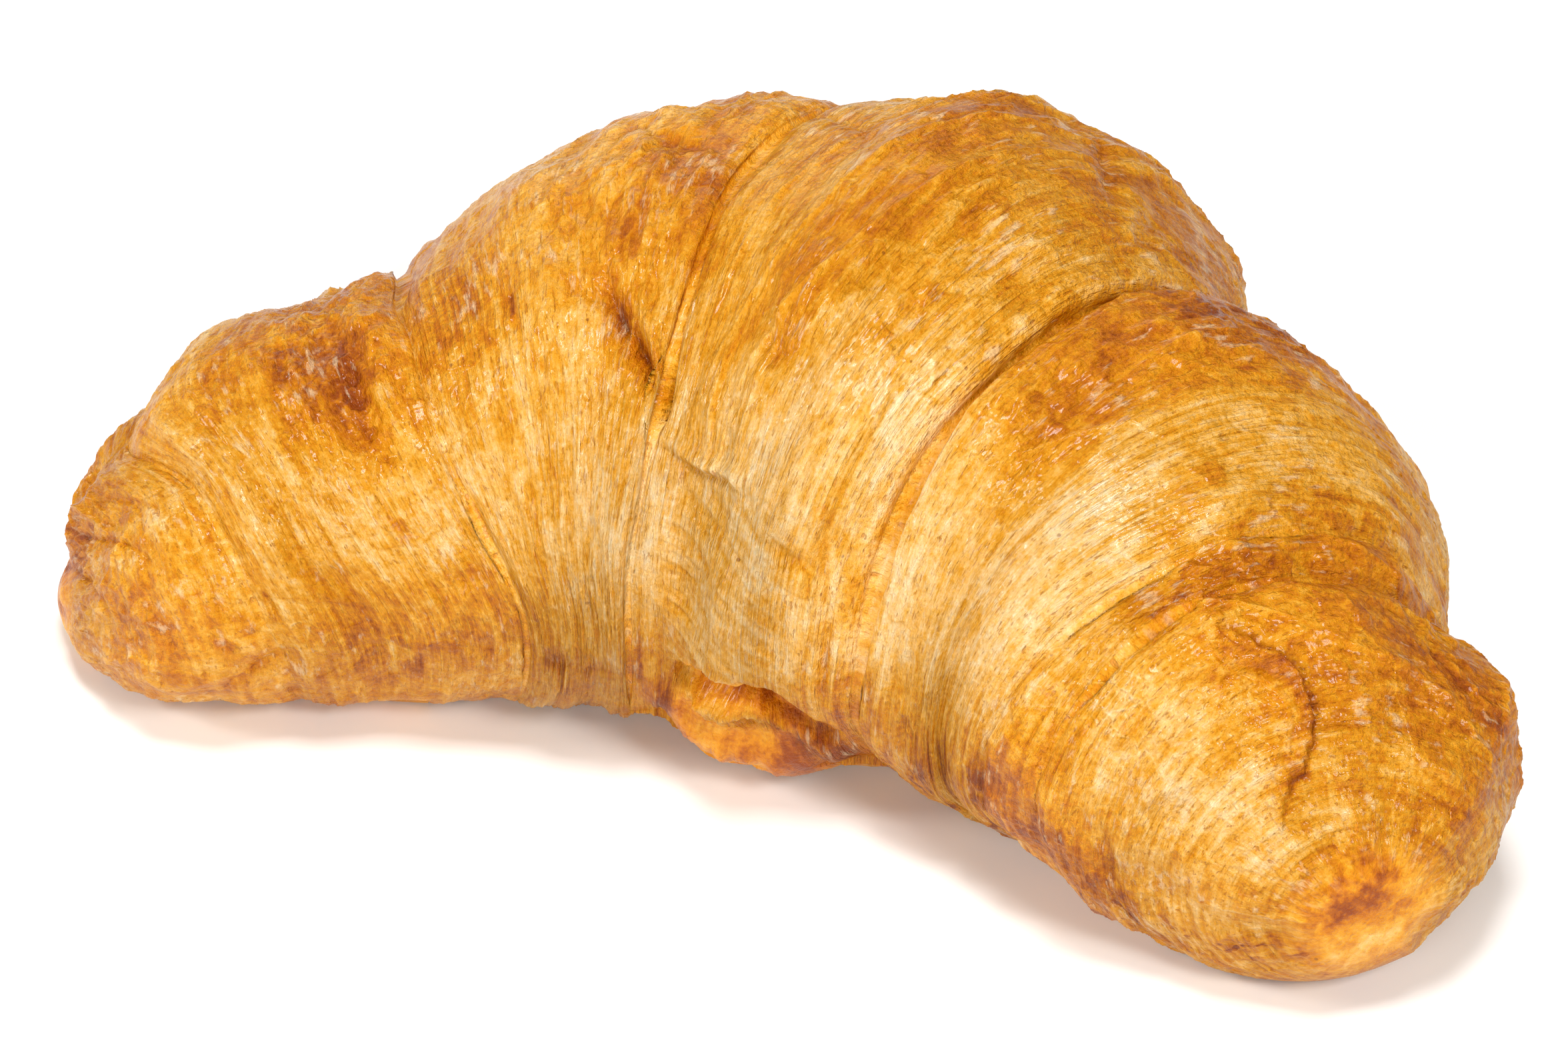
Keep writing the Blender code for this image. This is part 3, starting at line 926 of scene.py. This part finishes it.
class Shader:
    """A material's node tree, with short ways to add and join nodes."""

    def __init__(self, name):
        self.material = bpy.data.materials.new(name)
        self.material.use_nodes = True
        self.tree = self.material.node_tree
        self.surface = self.tree.nodes["Principled BSDF"]

    def add(self, kind, inputs=(), **settings):
        node = self.tree.nodes.new("ShaderNode" + kind)
        for name, value in settings.items():
            setattr(node, name, value)
        self.fill(node, inputs)
        return node

    def fill(self, node, inputs):
        for key, value in dict(inputs).items():
            socket = node.inputs[key]
            if isinstance(value, bpy.types.NodeSocket):
                self.tree.links.new(value, socket)
            else:
                socket.default_value = value

    def sum(self, a, b, factor=1.0):
        """a + b * factor"""
        node = self.add("Math", {0: b, 1: factor, 2: a}, operation="MULTIPLY_ADD")
        return node.outputs[0]

    def sums(self, value, terms):
        """value + each term * its factor"""
        for term, factor in terms:
            value = self.sum(value, term, factor)
        return value

    def times(self, a, b):
        return self.add("Math", {0: a, 1: b}, operation="MULTIPLY").outputs[0]

    def span(self, value, low, high, to_low=0.0, to_high=1.0):
        inputs = {"Value": value, "From Min": low, "From Max": high, "To Min": to_low, "To Max": to_high}
        return self.add("MapRange", inputs, interpolation_type="SMOOTHSTEP").outputs["Result"]

    def attribute(self, name):
        return self.add("Attribute", attribute_name=name).outputs["Fac"]

    def noise(self, place, scale, detail=3.0, roughness=0.6):
        """Noise between about -0.5 and 0.5."""
        inputs = {"Vector": place, "Scale": scale, "Detail": detail, "Roughness": roughness}
        return self.sum(-0.5, self.add("TexNoise", inputs).outputs["Fac"])

    def along_fibres(self, dough, shrink):
        """Dough coordinates in which a texture is stretched along the fibres."""
        return self.add("Mapping", {"Vector": dough, "Scale": (1.0, shrink, 1.0)}).outputs["Vector"]

    def ramp(self, value, stops):
        node = self.add("ValToRGB", {"Fac": value})
        ramp = node.color_ramp
        ramp.interpolation = "B_SPLINE"
        while len(ramp.elements) < len(stops):
            ramp.elements.new(1.0)
        for element, (position, colour) in zip(ramp.elements, stops):
            element.position = position
            element.color = (*colour, 1.0)
        return node.outputs["Color"]

    def blend(self, factor, a, b):
        node = self.add("Mix", {"Factor": factor}, data_type="RGBA")
        self.fill(node, {6: a, 7: b})
        return node.outputs[2]


# The colours of the bake from pale (0) to charred (1), and of the marks on it.
BAKE_COLOURS = (
    (0.00, (0.94, 0.72, 0.42)),
    (0.22, (0.90, 0.55, 0.19)),
    (0.38, (0.83, 0.415, 0.066)),
    (0.52, (0.74, 0.315, 0.008)),
    (0.66, (0.64, 0.222, 0.002)),
    (0.82, (0.48, 0.125, 0.001)),
    (1.00, (0.22, 0.035, 0.003)),
)
# Pale flecks: partly pale torn flakes of the crust, partly painted glints of the glaze.
PALE_FLAKE_AND_GLINT = (0.95, 0.74, 0.45, 1.0)
DARK_LINE = (0.48, 0.13, 0.004, 1.0)
PORE = (0.26, 0.07, 0.012, 1.0)

GLOSS = {
    "IOR": 1.45,
    "Specular IOR Level": 0.17,
    "Coat Weight": 0.25,
    "Coat Roughness": 0.12,
    "Coat IOR": 1.45,
    "Subsurface Weight": 0.06,
    "Subsurface Scale": 0.0008,
    "Subsurface Radius": (1.0, 0.45, 0.15),
}


def lace(s, place, plain):
    """A net of thin pale ridges between small blisters, here and there."""
    bend = s.add("TexNoise", {"Vector": place, "Scale": 300.0, "Detail": 2.0}).outputs["Color"]
    bent = s.add("VectorMath", {0: bend, 1: (0.003, 0.003, 0.003), 2: place}, operation="MULTIPLY_ADD")
    cells = {"Vector": bent.outputs["Vector"], "Scale": 430.0}
    edge = s.add("TexVoronoi", cells, feature="DISTANCE_TO_EDGE").outputs["Distance"]
    where = s.span(s.noise(place, 90.0, 4.0, 0.7), 0.08, 0.20)
    return s.times(s.times(plain, where), s.span(edge, 0.12, 0.0))


def pores(s, place):
    """Small dark pits in the crust, in clusters."""
    pit = s.add("TexVoronoi", {"Vector": place, "Scale": 330.0}).outputs["Distance"]
    return s.times(s.span(pit, 0.08, 0.05), s.span(s.noise(place, 170.0), 0.02, 0.12))


def crust_material():
    """Egg-washed laminated dough: baked colour with painted shade in the hollows of its layers and
    crinkles, fibres, flecks that are partly pale flakes and partly painted glints, a broken gloss and a
    fine grain.
    """
    s = Shader("crust")
    bake, glaze, plain, strands = (s.attribute(name) for name in ("bake", "glaze", "plain", "strands"))
    # Textures on place are scaled per metre, and those on the dough per mm.
    place = s.add("TexCoord").outputs["Object"]
    dough = s.add("UVMap", uv_map="dough").outputs["UV"]
    dashes = s.along_fibres(dough, 0.20)

    banded = s.span(s.noise(place, 48.0, 2.0, 0.5), -0.10, 0.12, 0.25, 1.0)
    layers = s.times(s.times(strands, banded), s.noise(s.along_fibres(dough, 0.018), 2.3, 3.0, 0.62))
    fibre = s.times(strands, s.noise(s.along_fibres(dough, 0.07), 4.2, 4.0, 0.62))
    crinkle = s.times(plain, s.noise(s.along_fibres(dough, 0.40), 1.25, 5.0, 0.68))
    coarse = s.noise(place, 420.0, 4.0, 0.62)
    bare_coarse = s.times(coarse, s.sum(1.0, plain, -1.0))  # only where no fibres show
    fine = s.noise(place, 1900.0, 3.0, 0.6)
    net = lace(s, place, plain)
    clusters = s.noise(place, 160.0, 2.0, 0.5)
    # Pale flecks along the fibres: partly flakes, partly painted glints.
    pale = s.times(plain, s.span(s.sum(s.noise(dashes, 1.5, 3.5, 0.62), clusters, 0.6), 0.08, 0.27))
    line = s.times(plain, s.span(s.noise(dashes, 3.1, 2.0, 0.5), -0.12, -0.19))

    # Layers and crinkles are browner where their bump is low: partly the bake, partly painted shade in
    # their hollows.
    browns = ((fibre, 0.26), (layers, 0.80), (crinkle, 0.40), (coarse, 0.27), (bare_coarse, 0.55))
    colour = s.ramp(s.sums(bake, (*browns, (fine, 0.42), (net, -0.16))), BAKE_COLOURS)
    marks = ((pale, 0.46, PALE_FLAKE_AND_GLINT), (line, 0.50, DARK_LINE), (pores(s, place), 0.6, PORE))
    for mark, strength, tint in marks:
        colour = s.blend(s.times(mark, strength), colour, tint)
    ribs = ((layers, -1.3), (crinkle, -1.1), (net, 0.22))
    grain = ((fine, 0.45), (coarse, 0.5), (pale, 0.16), (line, -0.16))
    height = s.sums(s.times(fibre, 0.5), (*ribs, *grain))
    bump = s.add("Bump", {"Height": height, "Strength": 1.0, "Distance": 0.0008})
    rough = s.span(s.sum(glaze, coarse, 0.8), 0.0, 1.0, 0.42, 0.24)
    s.fill(s.surface, {"Base Color": colour, "Roughness": rough, "Normal": bump.outputs["Normal"]})
    s.fill(s.surface, GLOSS)
    return s.material


# ---------------------------------------------------------------- stage, light and camera

CAMERA_AZIMUTH, CAMERA_ELEVATION = radians(21.7), radians(40.0)
CAMERA_DISTANCE = 520.0 * MM
CAMERA_LENS = 122.8
AIM = Vector((-0.5, -11.4, 25.0)) * MM
FLOOR_SIZE = 40.0 * (CAD_HIGH.x - CAD_LOW.x)  # half the floor's width
FLOOR_COLOUR = (0.93, 0.925, 0.915, 1.0)

# Each square soft light: its place and its size in m, its power in W and its colour.
LAMPS = {
    "key": ((0.50, -0.35, 0.62), 0.20, 3.5, (1.0, 0.98, 0.94)),
    "front": ((-0.05, -0.80, 0.34), 0.36, 3.3, (1.0, 0.98, 0.96)),
    "left": ((-0.68, -0.32, 0.44), 0.16, 2.3, (1.0, 0.98, 0.95)),
    "top": ((0.05, -0.15, 0.85), 0.18, 4.2, (1.0, 1.0, 1.0)),
    "back": ((-0.45, 0.65, 0.45), 0.50, 1.6, (1.0, 0.98, 0.95)),
}
SURROUND_COLOUR, SURROUND_STRENGTH = (1.0, 0.99, 0.97, 1.0), 0.20


def floor():
    size = FLOOR_SIZE
    mesh = bpy.data.meshes.new("floor")
    corners = [(-size, -size, 0), (size, -size, 0), (size, size, 0), (-size, size, 0)]
    mesh.from_pydata(corners, [], [(0, 1, 2, 3)])
    s = Shader("floor")
    s.fill(s.surface, {"Base Color": FLOOR_COLOUR, "Roughness": 0.8})
    mesh.materials.append(s.material)
    plane = bpy.data.objects.new("floor", mesh)
    bpy.context.scene.collection.objects.link(plane)


def lamp(name, place, size, power, colour):
    """A square soft light that faces the croissant."""
    light = bpy.data.lights.new(name, "AREA")
    light.size = size
    light.energy = power
    light.color = colour
    thing = bpy.data.objects.new(name, light)
    thing.location = place
    thing.rotation_euler = (AIM - Vector(place)).to_track_quat("-Z", "Y").to_euler()
    bpy.context.scene.collection.objects.link(thing)


def studio():
    world = bpy.data.worlds.new("studio")
    world.use_nodes = True
    background = world.node_tree.nodes["Background"]
    background.inputs["Color"].default_value = SURROUND_COLOUR
    background.inputs["Strength"].default_value = SURROUND_STRENGTH
    bpy.context.scene.world = world
    for name, settings in LAMPS.items():
        lamp(name, *settings)
    bpy.context.scene.view_settings.view_transform = "Standard"


def camera():
    level = cos(CAMERA_ELEVATION)
    back = Vector((sin(CAMERA_AZIMUTH) * level, -cos(CAMERA_AZIMUTH) * level, sin(CAMERA_ELEVATION)))
    data = bpy.data.cameras.new("camera")
    data.sensor_width = 36.0
    data.lens = CAMERA_LENS
    data.clip_start, data.clip_end = 0.01, 50.0
    thing = bpy.data.objects.new("camera", data)
    thing.location = AIM + CAMERA_DISTANCE * back
    thing.rotation_mode = "QUATERNION"
    thing.rotation_quaternion = (-back).to_track_quat("-Z", "Y")
    bpy.context.scene.collection.objects.link(thing)
    bpy.context.scene.camera = thing


# ---------------------------------------------------------------- the scene

crust = build_crust()
crust.data.materials.append(crust_material())
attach(crust, "root")
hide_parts("croissant")
floor()
studio()
camera()
